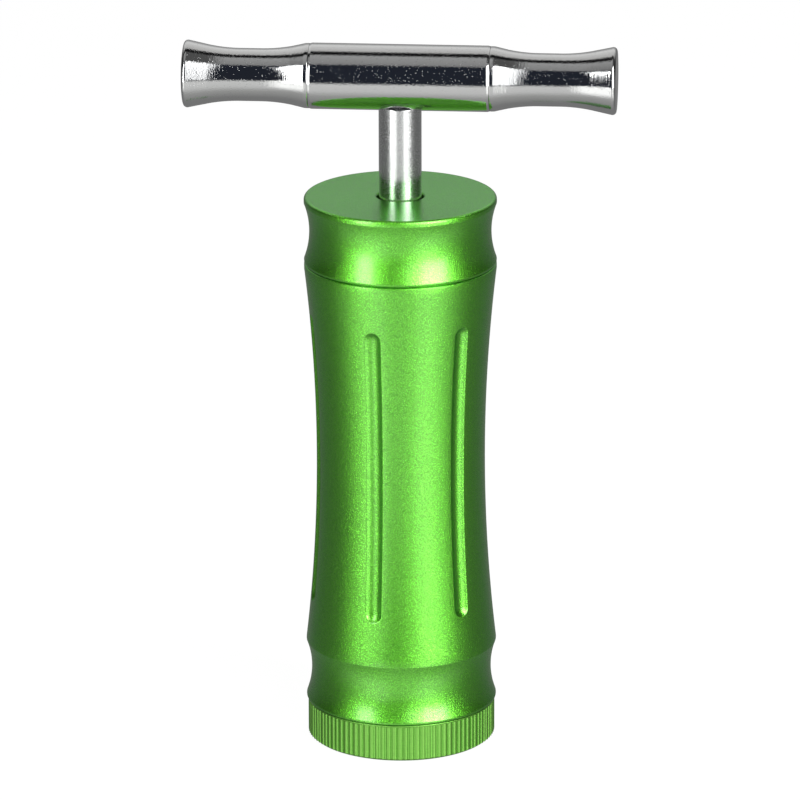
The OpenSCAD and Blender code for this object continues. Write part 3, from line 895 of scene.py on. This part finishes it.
RIBS = rib_tree()
grown("base_ribs", RIBS, {
    "Ring radius": BASE_R - 0.3 * MM, "Count": 100, "Rib width": 0.86 * MM, "Rib depth": 0.56 * MM,
    "Low": 0.45 * MM, "High": BASE_TOP - 0.3 * MM, "Unevenness": 0.2, "Seed": 3,
    "Finish": GREEN_TURNED}, "base")


# ---------------------------------------------------------------- stage, light and camera

VIEW_AZIMUTH = math.radians(4.6)
VIEW_ELEVATION = math.radians(17.5)
VIEW_ROLL = math.radians(-0.14)
VIEW_TARGET = Vector((-0.14 * MM, 0, 64.45 * MM))
VIEW_DISTANCE = 1.2
LENS = 293.8
FLOOR_R = 3.0
FLOOR_GAP = 0.02 * MM
FLOOR_WHITENESS = 0.9
FLOOR_STRENGTH = 1.06


def stage_floor():
    """A pale table top. Straight to the eye it is nearly plain white, and still takes a soft shadow."""
    bm = bmesh.new()
    bmesh.ops.create_circle(bm, cap_ends=True, segments=96, radius=FLOOR_R)
    mesh = bpy.data.meshes.new("floor")
    bm.to_mesh(mesh)
    bm.free()
    floor = bpy.data.objects.new("floor", mesh)
    bpy.context.scene.collection.objects.link(floor)
    floor.location.z = -FLOOR_GAP
    material, shader, _ = new_material("pale floor", (0.92, 0.92, 0.92), 0.0, 0.9, Specular_IOR_Level=0.1)
    nodes, links = nodes_of(material)
    path = nodes.new("ShaderNodeLightPath")
    tree = material.node_tree
    direct = math_node(tree, "ADD", path.outputs["Is Camera Ray"], path.outputs["Is Glossy Ray"])
    direct = math_node(tree, "ADD", direct, path.outputs["Is Transmission Ray"])
    white = nodes.new("ShaderNodeEmission")
    mix = nodes.new("ShaderNodeMixShader")
    links.new(math_node(tree, "MULTIPLY", direct, FLOOR_WHITENESS), mix.inputs[0])
    white.inputs["Strength"].default_value = FLOOR_STRENGTH
    links.new(shader.outputs[0], mix.inputs[1])
    links.new(white.outputs[0], mix.inputs[2])
    links.new(mix.outputs[0], nodes["Material Output"].inputs["Surface"])
    mesh.materials.append(material)
    floor.visible_glossy = False
    floor.visible_diffuse = False
    floor.visible_shadow = False


def strip(name, azimuth, width, height, mid_z, distance, radiance):
    """A tall soft box that faces the press. Azimuth is from the camera's, positive to the right."""
    light = bpy.data.lights.new(name, "AREA")
    light.shape = "RECTANGLE"
    light.size, light.size_y = width, height
    light.energy = radiance * math.pi * width * height
    lamp = bpy.data.objects.new(name, light)
    bpy.context.scene.collection.objects.link(lamp)
    a = VIEW_AZIMUTH + math.radians(azimuth)
    lamp.location = (distance * math.sin(a), -distance * math.cos(a), mid_z)
    aim = Vector((0, 0, mid_z)) - lamp.location
    lamp.rotation_euler = aim.to_track_quat("-Z", "Y").to_euler()
    lamp.visible_camera = False


# What the studio shows round the left-right axis, in degrees: 0 is towards the camera, 90 up, 180 behind.
STUDIO = [
    (-180, (0.2, 0.2, 0.2)), (-100, (0.3, 0.3, 0.3)), (-61, (0.5, 0.5, 0.49)), (-40, (0.84, 0.84, 0.83)),
    (-16, (0.92, 0.92, 0.91)),
    (-9, (0.024, 0.028, 0.04)), (54, (0.022, 0.027, 0.04)), (57, (0.36, 0.36, 0.36)), (91, (0.5, 0.5, 0.5)),
    (95, (0.012, 0.012, 0.013)), (108, (0.012, 0.012, 0.013)), (112, (0.7, 0.69, 0.68)),
    (150, (1.02, 1.02, 1.01)), (157, (0.62, 0.62, 0.62)), (168, (0.44, 0.44, 0.44)),
    (180, (0.22, 0.22, 0.22)),
]
SIDE_LOW = (0.17, 0.17, 0.17)
SIDE_HIGH = (0.045, 0.045, 0.045)
POOL = (1.75, 1.75, 1.72)
BEAM = (0.12, 0.12, 0.12)
# Where each of them fades in, as parts of a direction; the beam also lies between two angles.
SIDE_LOW_X = (0.5, 0.97)
SIDE_HIGH_X = (0.3, 0.9)
POOL_X = (0.24, 0.38)
POOL_FLOOR_Z = (-0.75, -0.5)
POOL_TOP_Z = -0.16
BEAM_X = (0.06, 0.16)
BEAM_ANGLES = (57, 94)


def studio_world():
    """White to the camera. Metal sees a pale table, a dark room in front, a soft ceiling and a backdrop."""
    world = bpy.data.worlds.new("studio")
    bpy.context.scene.world = world
    world.use_nodes = True
    tree = world.node_tree
    nodes, links = tree.nodes, tree.links
    nodes.clear()
    coords = nodes.new("ShaderNodeTexCoord")
    turn = nodes.new("ShaderNodeVectorRotate")
    turn.rotation_type = "Z_AXIS"
    turn.inputs["Angle"].default_value = -VIEW_AZIMUTH
    links.new(coords.outputs["Generated"], turn.inputs["Vector"])
    parts = nodes.new("ShaderNodeSeparateXYZ")
    links.new(turn.outputs[0], parts.inputs[0])
    x, y, z = parts.outputs
    angle = math_node(tree, "ARCTAN2", z, math_node(tree, "MULTIPLY", y, -1.0))
    along = math_node(tree, "ADD", math_node(tree, "DIVIDE", angle, 2 * math.pi), 0.5)
    ramp = nodes.new("ShaderNodeValToRGB")
    links.new(along, ramp.inputs["Fac"])
    stops = ramp.color_ramp.elements
    stops[0].position, stops[0].color = 0, (*STUDIO[0][1], 1)
    stops[1].position, stops[1].color = 1, (*STUDIO[-1][1], 1)
    for degrees, tone in STUDIO[1:-1]:
        stops.new((degrees + 180) / 360).color = (*tone, 1)

    def mix(fac, a, b):
        """From socket a to the colour b."""
        node = nodes.new("ShaderNodeMix")
        node.data_type = "RGBA"
        links.new(fac, node.inputs["Factor"])
        links.new(a, node.inputs["A"])
        node.inputs["B"].default_value = (*b, 1)
        return node.outputs["Result"]

    def both(a, b):
        """Where two masks overlap."""
        return math_node(tree, "MULTIPLY", a, b)

    def step(value, low, high):
        """A soft step from 0 to 1."""
        node = nodes.new("ShaderNodeMapRange")
        node.interpolation_type = "SMOOTHSTEP"
        links.new(value, node.inputs["Value"])
        node.inputs["From Min"].default_value = low
        node.inputs["From Max"].default_value = high
        return node.outputs["Result"]

    aside = math_node(tree, "ABSOLUTE", x)
    under = both(math_node(tree, "LESS_THAN", z, POOL_TOP_Z), math_node(tree, "LESS_THAN", y, 0))
    under = both(under, step(z, *POOL_FLOOR_Z))
    overhead = both(math_node(tree, "GREATER_THAN", angle, math.radians(BEAM_ANGLES[0])),
                    math_node(tree, "LESS_THAN", angle, math.radians(BEAM_ANGLES[1])))
    color = mix(both(step(x, *BEAM_X), overhead), ramp.outputs["Color"], BEAM)
    color = mix(both(step(aside, *POOL_X), under), color, POOL)
    color = mix(both(step(aside, *SIDE_LOW_X), math_node(tree, "LESS_THAN", z, 0)), color, SIDE_LOW)
    color = mix(both(step(aside, *SIDE_HIGH_X), math_node(tree, "GREATER_THAN", z, 0)), color, SIDE_HIGH)
    path = nodes.new("ShaderNodeLightPath")
    color = mix(path.outputs["Is Camera Ray"], color, (1, 1, 1))
    back = nodes.new("ShaderNodeBackground")
    links.new(color, back.inputs["Color"])
    out = nodes.new("ShaderNodeOutputWorld")
    links.new(back.outputs[0], out.inputs["Surface"])


def front_camera():
    """A long lens, a little above the press and to its right."""
    back = Vector((math.sin(VIEW_AZIMUTH) * math.cos(VIEW_ELEVATION),
                   -math.cos(VIEW_AZIMUTH) * math.cos(VIEW_ELEVATION), math.sin(VIEW_ELEVATION)))
    data = bpy.data.cameras.new("camera")
    data.sensor_width = 36
    data.lens = LENS
    data.clip_start, data.clip_end = 0.05, 50
    camera = bpy.data.objects.new("camera", data)
    bpy.context.scene.collection.objects.link(camera)
    camera.location = VIEW_TARGET + back * VIEW_DISTANCE
    level = (-back).to_track_quat("-Z", "Y").to_matrix()
    camera.rotation_euler = (level @ Matrix.Rotation(VIEW_ROLL, 3, "Z")).to_euler()
    bpy.context.scene.camera = camera


stage_floor()
studio_world()
strip("right_strip", azimuth=41, width=0.38, height=1.07, mid_z=0.555, distance=0.7, radiance=7.6)
strip("inner_strip", azimuth=17, width=0.22, height=1.07, mid_z=0.565, distance=0.7, radiance=1.9)
strip("left_strip", azimuth=-43.5, width=0.14, height=0.48, mid_z=0.26, distance=0.4, radiance=6.2)
front_camera()
bpy.context.scene.view_settings.view_transform = "Standard"
